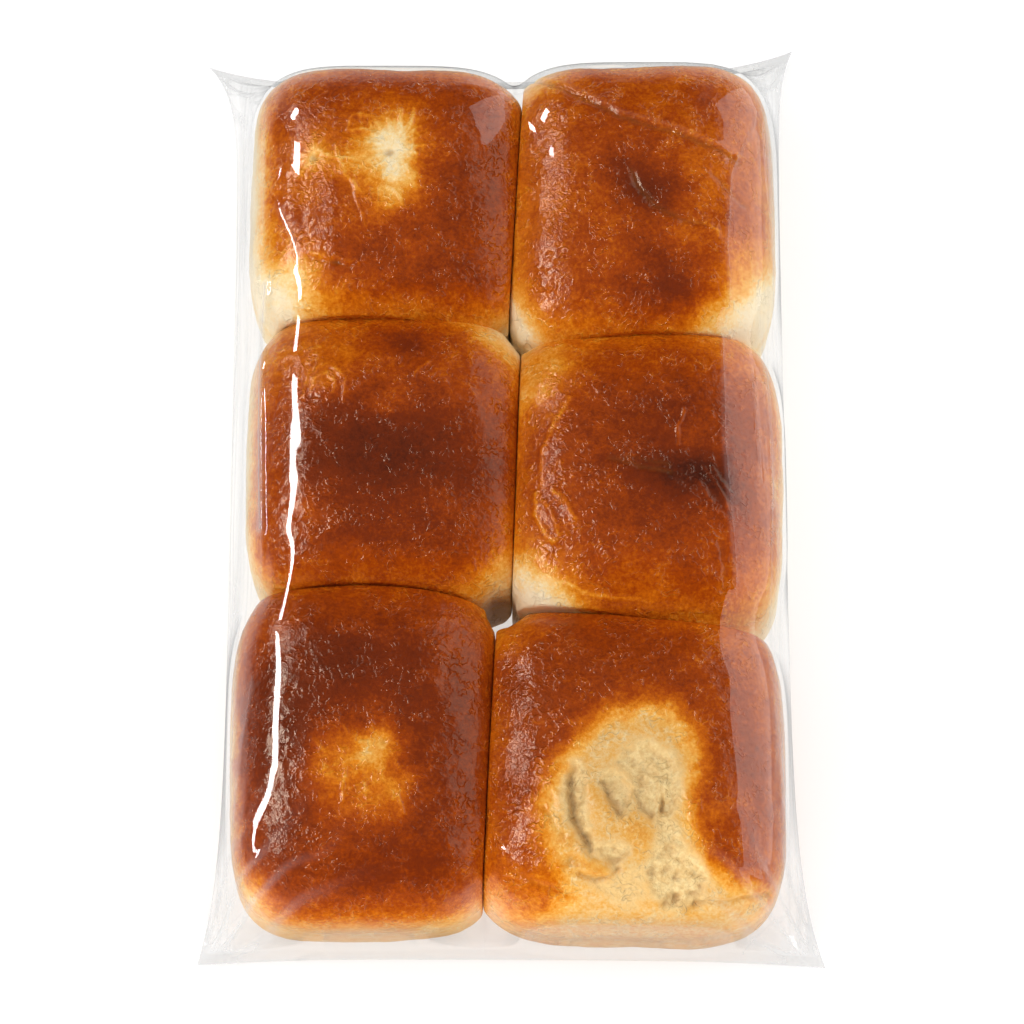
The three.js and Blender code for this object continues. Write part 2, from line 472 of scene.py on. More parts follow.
# %% [markdown]
# ## The form of a roll
# Soft dough rises into a dome with full shoulders. Seen from above it is a rounded square, rounder at the
# crown than lower down. Where a neighbour stops it, the side is pressed flat. The form is a profile, from
# the crown over the shoulder and down to the tray, carried round a superellipse.
# The form itself knows nothing of its neighbours: the joins cut it flat later, after its relief is on.
# The mesh is a square grid on top, whose rings are squares one inside another, and a skirt of rings below
# it. That spreads the faces evenly, and no fan of thin triangles meets at the crown, where the eye looks.

# %% Profile of a roll
TOP_RINGS = 88  # square rings from the crown to the edge of the top grid
SKIRT_RINGS = 66
UNDER_RINGS = 8
TOP_SHARE = 0.56  # share of the way from crown to tray that the top grid covers
TRAY_EDGE = 0.8  # where the rounded foot meets the flat underside, as a share of the reach
FOOT_POWER = 3.2  # how tight the foot's rounding is
FOOT_HEIGHT = 0.45  # the underside lies this high, inside the film, in mm
CROWN_PLAN_POWER = 3.0  # near the crown the plan is rounder than further down
JOIN_GAP, JOIN_ROUND = 0.06, 0.32  # air beside a join's line, and the rounding of its edges, in mm


def profile(roll, count=2000):
    """The profile as share of the reach, height, and distance walked from the crown, in mm.
    Above the widest line it is z = widest + rise * (1 - share^3)^(1/3), and below it a superellipse."""
    widest = WIDEST * roll.crown
    turn = np.linspace(0, np.pi / 2, count)
    upper_share = np.sin(turn) ** (2 / DOME_POWER)
    upper_z = widest + (roll.crown - widest) * np.cos(turn) ** (2 / DOME_POWER)
    lower_share = TRAY_EDGE + (1 - TRAY_EDGE) * np.cos(turn) ** (2 / FOOT_POWER)
    lower_z = widest - (widest - FOOT_HEIGHT) * np.sin(turn) ** (2 / FOOT_POWER)
    share = np.concatenate([upper_share, lower_share[1:]])
    z = np.concatenate([upper_z, lower_z[1:]])
    mean_reach = np.mean(list(roll.reach.values()))
    walked = np.concatenate([[0], np.cumsum(np.hypot(np.diff(share) * mean_reach, np.diff(z)))])
    return share, z, walked


def grid_faces(index):
    """Quads between the neighbours in a 2-D array of point numbers, row by row."""
    a, b, c, d = index[:-1, :-1], index[:-1, 1:], index[1:, 1:], index[1:, :-1]
    return np.stack([a, b, c, d], axis=-1).reshape(-1, 4)


def outer_rim(index):
    """The outer numbers of a 2-D array of point numbers, anticlockwise from its first corner."""
    return np.concatenate([index[0, :-1], index[:-1, -1], index[-1, :0:-1], index[:0:-1, 0]])


def soft_limit(value, limit, sign, turn):
    """value, held below limit (sign 1) or above it (sign -1), with a turn rounded over turn."""
    spare = sign * (limit - value) / turn
    return limit - sign * turn * np.logaddexp(0, spare)


def press_flat(roll, points):
    """Holds a roll's points on its own side of its joins, a small gap short of each line. Where a roll has
    joins on two opposite sides, only the later one presses it: a middle roll is flat in front, but at the
    back it runs on for up to 6 mm inside the back roll, where it can't be seen."""
    pressed = points.copy()
    for side, join in roll.joins.items():
        sign = 1 if side in ("east", "north") else -1
        axis = 0 if side in ("east", "west") else 1
        limit = join.line(points[:, 1 - axis]) - sign * JOIN_GAP
        pressed[:, axis] = soft_limit(points[:, axis], limit, sign, JOIN_ROUND)
    return pressed


def roll_form(roll):
    """The smooth form of a roll: its points in mm, its quads and the cap of triangles under it.
    A point's place is middle + reach * share(walked) * a direction on the superellipse."""
    side = 2 * TOP_RINGS + 1
    line = np.linspace(-1, 1, side)
    east, north = [a.ravel() for a in np.meshgrid(line, line)]
    ring = np.maximum(np.abs(east), np.abs(north))
    top = np.arange(side * side).reshape(side, side)
    rim = outer_rim(top)
    share, z, walked = profile(roll)
    top_end = TOP_SHARE * walked[-1]
    skirt = np.linspace(top_end, walked[-1], SKIRT_RINGS + 1)[1:]
    inner = np.linspace(TRAY_EDGE, 0, UNDER_RINGS + 2)[1:-1]
    rows = len(skirt) + len(inner)

    ring_safe = np.where(ring > 0, ring, 1)
    lean_x = np.concatenate([east / ring_safe, np.tile(east[rim], rows)])
    lean_y = np.concatenate([north / ring_safe, np.tile(north[rim], rows)])
    travel = np.concatenate([ring * top_end, np.repeat(skirt, len(rim))])
    out = np.concatenate([np.interp(travel, walked, share), np.repeat(inner, len(rim))])
    height = np.interp(travel, walked, z)
    height = np.concatenate([height, np.full(len(inner) * len(rim), FOOT_HEIGHT)])
    power = CROWN_PLAN_POWER + (PLAN_POWER - CROWN_PLAN_POWER) * smooth_step(out, 0.5, 1.0)
    size = (np.abs(lean_x) ** power + np.abs(lean_y) ** power) ** (1 / power)
    size = np.where(size > 0, size, 1)
    dx, dy = out * lean_x / size, out * lean_y / size
    reach_x, reach_y = roll.reach_towards(dx, dy)
    x = roll.middle[0] + reach_x * dx
    y = roll.middle[1] + reach_y * dy
    points = np.column_stack([x, y, height])
    points = np.vstack([points, [*roll.middle, FOOT_HEIGHT]])

    rings = np.vstack([rim, side * side + np.arange(rows * len(rim)).reshape(rows, len(rim))])
    rings = np.column_stack([rings, rings[:, 0]])
    quads = np.vstack([grid_faces(top), grid_faces(rings[::-1])])
    last = rings[-1]
    pole = np.full(len(last) - 1, len(points) - 1)
    cap = np.column_stack([last[1:], last[:-1], pole])
    return points, quads, cap


def point_normals(points, quads, cap):
    """Outward directions. A face's direction is the cross product of two lines across it, a quad's diagonals
    or a triangle's sides. It is added to each of the face's points, and the sums are scaled to length 1."""
    normals = np.zeros_like(points)
    for faces, (a, b), (c, d) in ((quads, (0, 2), (1, 3)), (cap, (0, 1), (0, 2))):
        first = points[faces[:, b]] - points[faces[:, a]]
        turned = np.cross(first, points[faces[:, d]] - points[faces[:, c]])
        for corner in faces.T:
            for axis in range(3):
                normals[:, axis] += np.bincount(corner, turned[:, axis], len(points))
    return normals / np.maximum(np.linalg.norm(normals, axis=1), 1e-12)[:, None]


points, quads, cap = roll_form(rolls[0])
print(rolls[0].name, "has", len(points), "points and", 2 * len(quads) + len(cap), "triangles")
print("its form, mm:", np.round(np.ptp(points, axis=0), 1))

# %% [markdown]
# ## What the oven did to each roll
# All six have the same make-up, but each has its own marks, which the next cells list: where the skin
# stayed pale, where the glaze went dark, where it creased as it cooled, and where it stuck and tore.
# Each mark is a place and a size in millimetres from the roll's middle. Marks are kept apart from the
# functions that draw them, so that a mark can be moved without touching a formula.
# First come the colours. A bubble lifts the skin, which stays pale there, and glaze that pools goes dark.

# %% Marks of colour
# how brown each crown is at its height
BAKED = {
    "roll_back_left": 0.74,
    "roll_back_right": 0.70,
    "roll_middle_left": 0.76,
    "roll_middle_right": 0.73,
    "roll_front_left": 0.83,
    "roll_front_right": 0.74,
}
# tints: where the glaze went darker, or the skin stayed lighter (minus), as place, radius, stretch, angle
# and strength
TINTS = {
    "roll_back_left": [
        ((22, -2), 14, 1.7, 80, 0.16),
        ((-12, -24), 12, 1.4, 0, 0.05),
        ((3.6, 8.5), 13, 1.25, 60, -0.25),
        ((3.4, 9.6), 7, 1.25, 60, -0.4),
        ((-8, 4.5), 4, 1.4, 30, -0.16),
        ((7.2, -1.5), 5.5, 1.4, -50, -0.3),
        ((2, -4.5), 4.5, 1.3, 80, -0.16),
        ((-19.8, 6.4), 7, 1.2, 70, -0.2),
        ((-19.6, 6.6), 3.4, 1.2, 90, -0.3),
        ((8, -22), 3, 1, 0, -0.14),
        ((-33, -20), 8, 2.2, 90, -0.08),
        ((18, -31), 10, 1.8, 0, 0.1),
        ((-32, -38), 11, 1.7, 45, -0.6),
        ((-40, 2), 6, 6.0, 90, -0.35),
        ((18, 22), 8, 1.5, 0, 0.08),
        ((0, -40), 5, 5.0, 0, -0.1),
    ],
    "roll_back_right": [
        ((-1.7, -1), 8.5, 1.3, -40, 0.36),
        ((9.8, -31), 7, 1.6, 0, 0.17),
        ((1, -24), 8, 1.3, 0, 0.08),
        ((16, 6), 9, 1.6, -30, -0.08),
        ((-10, 22), 9, 1.7, 0, 0.07),
        ((-1, -35), 8, 2.6, 0, 0.1),
        ((30, -40), 12, 1.7, 35, -0.55),
        ((-40, -40), 6, 1.7, -50, -0.4),
        ((-36, 36), 9, 1.4, 45, -0.16),
    ],
    "roll_middle_left": [
        ((6.3, -2.1), 16, 1.6, -10, 0.32),
        ((-12, 0), 12, 1.5, 20, 0.12),
        ((7.3, 31.2), 5.2, 1.2, 0, 0.17),
        ((-16.5, 17.9), 4, 1.3, 0, -0.1),
        ((2.4, 12), 5, 1.4, 30, -0.12),
        ((-19.7, -19.7), 5, 1.4, -30, -0.14),
        ((19, -17.7), 5, 1.3, 0, -0.08),
        ((-14, 28), 9, 2.0, 0, -0.1),
        ((-40, -4), 4, 8.0, 90, -0.3),
        ((36, 36), 7, 1.5, -45, -0.3),
        ((35, -36), 6, 1.5, 45, -0.18),
        ((-4, -24), 13, 1.9, 0, 0.13),
        ((-20, 27), 11, 1.6, 0, -0.09),
    ],
    "roll_middle_right": [
        ((10.6, -1.5), 6.5, 2.0, -8, 0.42),
        ((19, -6), 5.5, 1.6, -55, 0.2),
        ((-2, 12), 14, 1.3, 30, 0.14),
        ((20, 18), 12, 1.4, -30, 0.1),
        ((0, -12), 12, 1.5, -20, 0.08),
        ((-31, 29), 9, 1.6, 60, -0.18),
        ((-33, -38), 9, 1.5, -40, -0.6),
        ((4, 30), 12, 2.2, 0, -0.07),
        ((-7, 19), 12, 1.3, 20, 0.09),
        ((6, -14), 14, 1.5, 0, 0.07),
        ((27, 30), 8, 1.5, 90, -0.09),
        ((26, -33), 7, 1.5, 45, -0.08),
    ],
    "roll_front_left": [
        ((-7.5, 24.5), 13, 1.7, -8, 0.2),
        ((15, -32), 9, 1.7, 0, 0.06),
        ((0, -25), 8, 1.8, 0, -0.05),
        ((-24, 37), 8, 1.6, 20, -0.1),
        ((25, 37), 8, 1.6, -20, -0.08),
        ((-22, 2), 11, 1.8, 80, 0.2),
        ((20, 6), 12, 1.7, 80, 0.12),
        ((-18, -26), 9, 1.4, 60, 0.12),
        ((4, -6), 12, 1.3, 60, -0.22),
        ((-8, -6), 8, 1.4, 60, -0.24),
        ((11, -15), 6, 1.4, 40, -0.14),
        ((6.3, -0.6), 5, 1.3, 50, -0.34),
        ((8, -14), 6, 1.4, 20, -0.12),
        ((4, -39), 7, 3.6, 0, 0.06),
        ((-38, 4), 4, 9.0, 90, -0.32),
        ((-33, -42), 6, 1.5, 30, -0.3),
    ],
    "roll_front_right": [
        ((-20, 29), 12, 1.6, 5, 0.2),
        ((19, 36), 8, 1.4, 0, -0.05),
        ((-34, 35), 7, 1.5, 0, -0.1),
        ((8, 28), 10, 1.8, -10, 0.1),
        ((22, 12), 9, 1.6, 80, -0.08),
        ((-30, 4), 9, 2.2, 90, 0.1),
        ((30, -4), 9, 2.2, 95, 0.1),
        ((-1, 21), 6, 2.0, 0, -0.12),
        ((24, -14), 6, 1.6, 60, -0.16),
        ((-24, -34), 8, 1.6, -30, -0.14),
    ],
}
print("tints on each roll:", {name[5:]: len(tints) for name, tints in TINTS.items()})

# %% [markdown]
# ## The torn place
# On the front right roll the skin stuck to something and tore off. What it left is pale, with pits where
# crumb came away with it and tongues of skin that stayed on. The tear and its pits are drawn by their
# outlines, and the tongues are long soft spots.

# %% The torn place
# the edge of the place where the front right roll's skin tore off
TEAR = [
    (-23, -3), (-18.5, 2.5), (-14.5, 7), (-8.3, 12.6), (0, 14.6), (8.4, 14), (13, 8), (14.7, 1.2),
    (12.5, -10.6), (14.4, -23.5), (18.6, -29.6), (26, -34.5), (40, -36), (40, -60), (-38, -60),
    (-32, -44), (-19, -38), (-22, -30), (-25, -22), (-26, -12),
]
# the pits in the torn place: depth, width of the wall, how open the crumb is, and the edge of each
PITS = [
    (2.4, 1.7, 1, [(-19.1, 0.6), (-21.1, -4.3), (-21.6, -10.7), (-20.1, -17.1), (-16.7, -23), (-14.1, -25.7),
                   (-12.5, -23.5), (-15, -19.9), (-16.3, -14.6), (-15.4, -9.6), (-16, -3.6), (-17.3, 0.1)]),
    (1.5, 1.4, 1, [(-11.1, -6.2), (-10.5, -9.6), (-8.3, -12.6), (-6.1, -16.4), (-4.7, -15.5), (-2.9, -11.9),
                   (-2.7, -7.4), (-4.6, -4.6), (-8.2, -2.8), (-10.4, -3.7)]),
    (1.3, 2.4, 1, [(-7.3, 0), (-4.6, 4.1), (2.6, 6.4), (8.8, 2.3), (10.8, -2.8), (10.5, -9.2), (10, -12.8),
                   (8.2, -16.4), (3.3, -16.2), (0.6, -14.4), (-1.1, -11.9), (-2, -7.4), (-4.2, -3.7)]),
    (1.9, 1.6, 1, [(-13, -24.6), (-10.1, -27.8), (-7.9, -29.9), (-5.4, -28.5), (-2.8, -26.5), (-3.4, -24.2),
                   (-7.4, -23.7), (-11, -23.5)]),
    (1.5, 2.4, 1, [(1.4, -27.8), (3.7, -24.6), (8.1, -23.5), (13, -25.2), (17.4, -29), (19.7, -33.2),
                   (17.7, -36.1), (16.7, -39.6), (11.8, -40.6), (7.3, -40.6), (3.3, -37.3), (1.5, -32.9)]),
    (0.7, 2.0, 1, [(3.3, -16), (8.2, -16), (11, -20), (13.4, -25.4), (8, -24), (3.7, -25), (4.3, -20)]),
    (0.4, 2.0, 0.6, [(-15, -33.7), (-8.3, -33.3), (-3, -30.4), (1, -29.5), (2.4, -37.7), (-2.9, -39.3),
                     (-11, -36.9)]),
]
# tongues of skin that stayed on in the torn place, as place, radius, stretch, angle, rise and bake
TONGUES = [
    ((-11.6, -12.5), 3.4, 2.6, -68, 0.9, 0.05),
    ((-0.6, -20.2), 3.8, 1.5, -50, 0.9, 0.07),
    ((-13, -30.6), 2.4, 2.0, -22, 0.8, 0.06),
    ((-19.2, -23.5), 2.2, 3.0, -55, 0.3, 0.05),
]

# %% [markdown]
# ## Creases, wrinkles and dents
# The skin is thinner than the crumb under it, so as the roll cools and sinks, the skin folds. Creases and
# wrinkles follow paths, and round a burst bubble they run outwards like the pleats of a pucker.

# %% Creases and wrinkles
# creases (minus) and raised wrinkles, as path, width and height
LINES = {
    "roll_back_left": [
        ([(-13.4, 9.3), (-11.6, 4.5), (-10.4, 0.3), (-5.9, -5.8)], 0.6, 0.35),
        ([(-18.5, 8), (-14.9, 6.2), (-11, 5.7), (-8.4, 5.1)], 0.5, 0.35),
        ([(-8, -2), (-6.7, -8.3), (-4.3, -16)], 0.6, 0.3),
        ([(-9.4, 0), (-8.6, -7), (-5.8, -13)], 0.5, -0.3),
        ([(1.5, -3.6), (5.9, -6.7), (6.8, -10.2)], 0.55, 0.35),
        ([(-10, 14.8), (-8.6, 19.5), (-3.8, 19.8), (-2.6, 14.8), (-9.4, 14.6)], 0.5, 0.35),
        ([(-5.5, 14.9), (-6.4, 19.4)], 0.5, 0.3),
        ([(5.9, 20.9), (5.7, 13.5)], 0.5, 0.35),
        ([(9.8, 21.9), (9.2, 17), (6.4, 12)], 0.5, 0.35),
        ([(9.4, 14.6), (9.2, 9), (11, 5.5)], 0.5, 0.3),
        ([(-21.3, -24.8), (-16, -26.8), (-12.4, -26.8), (-8.3, -28.5)], 0.6, -0.5),
        ([(-20.6, -23.6), (-15.8, -25.4), (-12, -25.3), (-8, -27)], 0.5, 0.35),
    ],
    "roll_back_right": [
        ([(-5.2, 3.3), (-2, -3), (2.3, -8.1), (9.9, -12.5), (16.7, -12.9)], 1.0, -0.6),
        ([(-39.3, 43.7), (-21.8, 30), (-7.7, 20.9), (8.8, 15.6), (27.1, 7.6)], 1.0, -0.8),
        ([(-37, 43.6), (-20.9, 31.9), (-7, 22.9), (9.5, 17.5), (27.5, 9.6)], 0.8, 0.14),
        ([(19.3, 2.8), (24, -2.5), (29, -6.3)], 0.8, -0.55),
        ([(16.9, -12.9), (20.5, -15.5), (20.6, -17)], 0.6, 0.4),
    ],
    "roll_middle_left": [
        ([(-20, 16), (-19, 20.5), (-15.5, 22), (-12.6, 19.4), (-13.6, 15.5)], 0.6, 0.35),
        ([(-22.5, 15), (-21, 23), (-15, 25), (-9.8, 20.5), (-10.4, 13)], 0.6, 0.3),
        ([(10.1, 20.7), (11.8, 24), (14.7, 25.4)], 0.5, 0.4),
        ([(9.4, -9), (11, -6.6), (10.8, -5)], 0.5, 0.4),
    ],
    "roll_middle_right": [
        ([(-12.6, 2.4), (-3.8, -0.5), (4.5, -2)], 0.8, -0.55),
        ([(-8, 2.8), (-1, 1.2), (5, 0.6)], 0.7, -0.35),
        ([(7.2, 6.5), (7.6, 11.8), (9.4, 17.1)], 0.6, 0.45),
        ([(14.3, -0.3), (18, -4.7), (21.7, -12.6)], 0.6, 0.5),
        ([(13.4, -4.9), (16.8, -10.8)], 0.6, 0.45),
        ([(17.4, -1), (22.5, -8.5)], 0.6, 0.4),
        ([(-23.7, 21.6), (-29.5, 11.8), (-31.6, 4), (-31.6, -4.2)], 0.9, 0.4),
        ([(-29, -6.6), (-25.5, -10), (-22.5, -15.8)], 0.8, 0.5),
        ([(-33.6, -7.1), (-34, -13), (-31, -19.9), (-28, -22)], 0.7, 0.5),
        ([(-33, -7), (-29.5, -13), (-27, -20.6)], 0.6, 0.4),
        ([(-25, -34.1), (-20, -37), (-15.3, -38.1), (-4.7, -38.4)], 0.7, 0.4),
        ([(18.6, -22), (20.6, -30), (20, -37)], 0.8, -0.3),
    ],
    "roll_front_left": [
        ([(-3, -8), (-4, -12), (-3.2, -16)], 0.5, 0.35),
        ([(10, -2), (12.4, -7.5)], 0.5, 0.35),
        ([(2.4, -11), (3, -15)], 0.5, 0.35),
        ([(12, -14), (13.5, -20)], 0.5, 0.3),
        ([(-6, 8), (-2, 3)], 0.5, 0.3),
        ([(3, 11), (4.5, 6)], 0.5, 0.3),
        ([(-12, 2), (-8.6, -2.8)], 0.5, 0.3),
    ],
    "roll_front_right": [
        ([(-20, -4), (-20.1, -9.9), (-19.2, -15.8), (-16.8, -20.8), (-14.3, -25.2)], 1.2, -1.1),
        ([(-10.7, -5.9), (-9.1, -10.6), (-6.1, -15.3)], 0.8, -1.3),
        ([(-1.8, -8.2), (-0.3, -12.8), (3.3, -15.7)], 0.8, -1.2),
        ([(-9, -28), (-7.6, -29.2), (-5.6, -28)], 0.8, -0.9),
        ([(5.2, -5.6), (5.0, -14.6)], 0.7, 1.0),
        ([(7.2, -5), (7.0, -11.6)], 0.6, 0.7),
        ([(2, 0.5), (6.5, -4)], 0.7, 0.5),
        ([(-17.1, -25.9), (-13.8, -28.6), (-8.7, -31.3)], 1.1, 1.0),
        ([(-17.1, -32), (-12.4, -33.3), (-9.6, -32.3), (-6, -30.6)], 0.8, -1.3),
        ([(9, -38), (14, -41), (20, -38.5), (25.1, -38.6), (30.2, -37.2), (36.9, -35)], 0.7, -0.9),
        ([(20, -37), (25, -37), (30, -35.7), (36.9, -33.6)], 0.8, 0.35),
        ([(-27.4, -12.3), (-24, -18.2), (-21.5, -21.1)], 0.7, -0.5),
        ([(-25, -6), (-22.5, -14)], 0.7, 0.4),
        ([(12.5, -9), (14.5, -12.8), (14, -17)], 0.6, 0.45),
        ([(15.5, -8), (16.5, -13), (15, -19)], 0.6, 0.4),
        ([(14, -28), (18.5, -32.5), (22, -36)], 0.8, 0.45),
        ([(-36, -30), (-30, -33.5), (-20, -37)], 0.8, -0.4),
    ],
}
# fine wrinkles that run out from a puckered spot, as place, radius, count and height
PUCKERS = {
    "roll_back_left": [((4.2, 9), 12, 17, 0.6), ((-19.6, 6.4), 7, 11, 0.5)],
    "roll_front_left": [((7, -1.5), 11, 9, 0.35), ((-2, -12), 8, 7, 0.35)],
}
print("creases and wrinkles:", sum(len(paths) for paths in LINES.values()))

# %% [markdown]
# ## Dents, and thick glaze
# Steam lifts the skin in some places and lets it sink in others, so a crown has soft dents, swellings and
# a few small holes. Where brushed egg pooled before the roll went in, the glaze dries thick and glossy.

# %% Dents, and where the glaze is thick
# soft dents (minus) and swellings, as place, radius, stretch, angle and height
SWELLS = {
    "roll_back_left": [
        ((2.7, 7.3), 0.9, 1.3, 30, -1.5),
        ((1.2, 7.0), 0.6, 1, 0, -0.7),
        ((3.4, 9), 6, 1.2, 60, -0.35),
        ((-19.7, 6.1), 0.75, 1.4, 80, -1.2),
        ((-12.4, -26.8), 0.9, 1.4, 0, -1.0),
        ((-11, -24), 4, 1.5, 20, 0.3),
        ((-22, -7), 4.5, 2.0, 95, -1.1),
        ((-11, -10), 4.5, 2.0, 100, 0.5),
    ],
    "roll_back_right": [
        ((-2, -1.5), 7.5, 1.4, -35, -0.9),
        ((9.5, -31), 9, 1.2, 0, -0.6),
        ((7, 18), 6, 1.5, 0, 0.3),
    ],
    "roll_middle_left": [((5, -3), 13, 1.3, 0, -0.6), ((-16.5, 18), 3.2, 1, 0, 0.45)],
    "roll_middle_right": [((12, -2), 7, 1.7, -15, -0.8), ((-29, 2), 3.5, 2.6, 80, 0.4)],
    "roll_front_left": [((8, 0.9), 0.8, 1.4, 30, -0.8), ((4, -5), 10, 1.3, 50, -0.5)],
    "roll_front_right": [
        ((-19.6, -28), 1.7, 1.2, 60, -1.2),
        ((-39, 4), 5, 2.4, 90, 0.5),
        ((-9.9, -25.3), 1.3, 1, 0, 0.55),
        ((-6.5, -27), 1.2, 1, 0, 0.5),
        ((-3.2, -26), 1.3, 1, 0, 0.45),
        ((10.5, -33), 7, 1.3, -35, -0.5),
        ((6.2, -11.5), 0.75, 1.7, 85, -1.6),
        ((5.8, -13.8), 0.7, 1.2, 80, -1.3),
        ((9.5, -39.4), 0.9, 1.1, 80, -1.9),
        ((16.8, -35.9), 0.8, 1.8, 70, -1.3),
        ((14.8, -37.7), 0.8, 2.2, 5, -1.2),
        ((6.9, -40.0), 0.8, 1.6, -20, -1.2),
        ((15.3, -39.7), 0.8, 1.4, 10, -1.1),
        ((3.0, -32.2), 1.5, 1.3, 70, -0.8),
        ((9.8, -33.4), 1.0, 1.4, 30, -0.6),
    ],
}
# where the glaze lies thick and shines, as place, radius, stretch, angle and strength
SHINES = {
    "roll_back_left": [((-16.5, -5), 4.5, 1.7, 100, 1.0), ((-14.5, -16), 4.5, 1.8, 100, 0.9)],
    "roll_back_right": [((-26, 2), 5, 2.2, 85, 0.8), ((-28, -14), 4.5, 2, 105, 0.8)],
    "roll_middle_left": [((-22, 2), 7, 1.8, 90, 0.5)],
    "roll_middle_right": [((-27, 14), 4.5, 2.4, 65, 0.9), ((-30, -8), 5, 2.2, 95, 0.9)],
    "roll_front_left": [((-23, -30), 5, 1.6, 60, 0.7)],
    "roll_front_right": [((-33, 14), 5, 2.2, 85, 0.9), ((-35, -6), 4.5, 2.4, 95, 1.0)],
}
print("dents and swellings:", sum(len(swells) for swells in SWELLS.values()))

# %% [markdown]
# ## How brown the crust is
# Browning follows height: the crowns are nearest the oven's top heat, and the sides that touched a
# neighbour or the tray stay cream. The number "bake" runs from 0, cream dough, to 1, dark brown, and the
# material turns it into colour. It is stored on the mesh's points, so that it can follow the form.

# %% Browning
# how far browning has gone, from the side's bake to the crown's, at a height over the crown's height
BAKE_HEIGHTS = [0.4, 0.5, 0.6, 0.68, 0.76, 0.82, 0.9, 1]
BAKE_RISES = [0.0, 0.08, 0.28, 0.5, 0.71, 0.84, 0.97, 1]
SIDE_BAKE = {"back": 0.05, "middle": 0.06, "front": 0.28}  # the front row's sides stood open and coloured
# bake at a depth inside the tear, in mm: brown skin, then orange and golden, then cream
TEAR_DEPTHS = [-8, -3.5, -1, 1.5, 5]
TEAR_BAKES = [0.8, 0.58, 0.42, 0.31, 0.25]
MOST_BAKED = 1.25  # beyond 1 a dark patch is burnt, and the crust's colours end here
# a painted highlight: raised wrinkles and puckers are painted paler on their tips, where they would catch
# the light
WRINKLE_PAINTED_HIGHLIGHT, PUCKER_PAINTED_HIGHLIGHT = 0.4, 0.16  # bake that a ridge 1 mm high takes away
TORN_ROLL = "roll_front_right"
# layers of lumps, as size, height and step of the seed: the tear's edge, then what breaks up the browning
TEAR_LAYERS = [(4.5, 1.4, 0), (1.7, 0.8, 1)]
HEIGHT_LAYERS = [(9, 0.022, 3), (3, 0.012, 4)]
BAKE_LAYERS = [(16, 0.05, 5), (6, 0.05, 6), (2.6, 0.025, 7)]


def tear_depth(points, plan):
    """Depth inside the tear, its edge made ragged by lumps."""
    return depth_inside(plan, TEAR) + layered(points, 61, TEAR_LAYERS)


def bent(plan):
    """Places moved about by half a millimetre, so that a straight stretch of a path isn't ruled."""
    return plan + 0.5 * swayed(level(plan), 2.4, 77)


def browning(roll, points, plan, on_top):
    """Bake at each point: a smooth rise with height, broken by lumps, plus the tints, less a painted
    highlight on raised wrinkles and puckers.
    """
    height = points[:, 2] / roll.crown + layered(points, roll.seed, HEIGHT_LAYERS)
    rise = np.interp(height, BAKE_HEIGHTS, BAKE_RISES)
    side = SIDE_BAKE[roll.row]
    bake = side + rise * (BAKED[roll.name] - side + layered(points, roll.seed, BAKE_LAYERS))
    wander = 1.7 * swayed(points, 5, 71) + 0.8 * swayed(points, 1.8, 73)
    for at, radius, stretch, angle, strength in TINTS[roll.name]:
        bake += strength * spot(plan + wander, at, radius, stretch, angle) * on_top
    bend = bent(plan)
    # painted highlight: raised wrinkles and the rays of puckers are painted paler
    for path, width, rise in LINES[roll.name]:
        bake -= WRINKLE_PAINTED_HIGHLIGHT * max(rise, 0) * groove(bend, path, 0.8 * width) * on_top
    for at, radius, count, rise in PUCKERS.get(roll.name, []):
        bake -= PUCKER_PAINTED_HIGHLIGHT * rise * rays(plan, at, radius, count, roll.seed) * on_top
    if roll.name == TORN_ROLL:
        bake = np.minimum(bake, np.interp(tear_depth(points, plan), TEAR_DEPTHS, TEAR_BAKES))
        bake += 0.05 * (1 - on_top)  # its flank isn't torn and stays a little browner than the tear
        for *place, _, gold in TONGUES:
            bake += gold * spot(plan, *place) * on_top
    return np.clip(bake, 0, MOST_BAKED)


def open_crumb(roll, points, plan, on_top):
    """1 where the crumb is open to the air, 0 where there is skin."""
    if roll.name != TORN_ROLL:
        return np.zeros(len(points))
    ragged = plan + 1.3 * swayed(points, 3, 75)
    found = [
        openness * smooth_step(depth_inside(ragged, edge), -2.2, 1.4) for _, _, openness, edge in PITS
    ]
    skin_left = np.max([spot(plan, *place) for *place, _, _ in TONGUES[:3]], axis=0)
    return np.max(found, axis=0) * (1 - smooth_step(skin_left, 0.4, 0.8)) * on_top


# %% [markdown]
# ## Relief
# The relief has three scales: slow lumps of the dough, a rippled skin, and each roll's own marks. It is
# measured along the surface's normal, in millimetres. Low in the corners where four rolls meet, the dough
# swelled into knobs, and at one of those corners a hole stayed open.

# %% Relief of a roll
OPEN_CORNER = (-1, -44.5)  # the one meeting of four rolls that stays an open hole, in the pack's own plan
KNOB_RADIUS, OPEN_DEPTH = 8, 3.0
HIGHEST_RELIEF = 0.55  # the film lies 0.9 mm above the smooth form, so relief must stop short of that
SUNK, SUNK_ON_TOP = 0.2, 0.35  # the slow lumps start this far under the smooth form, and further on top
SMALL = 3  # a dent with a radius below this is sharp, and counts as a hollow
DEEPEST = 1.6  # a hollow this deep is fully shaded
# layers of lumps, as size, height and step of the seed
SLOW_LAYERS = [(24, 0.55, 0), (9, 0.3, 1), (3.4, 0.1, 2)]
KNOB_LAYERS = [(5, 1.2, 8), (2.2, 0.5, 9)]
CRUMB_LAYERS = [(1.3, 0.25, 0), (3.1, 0.3, 1)]


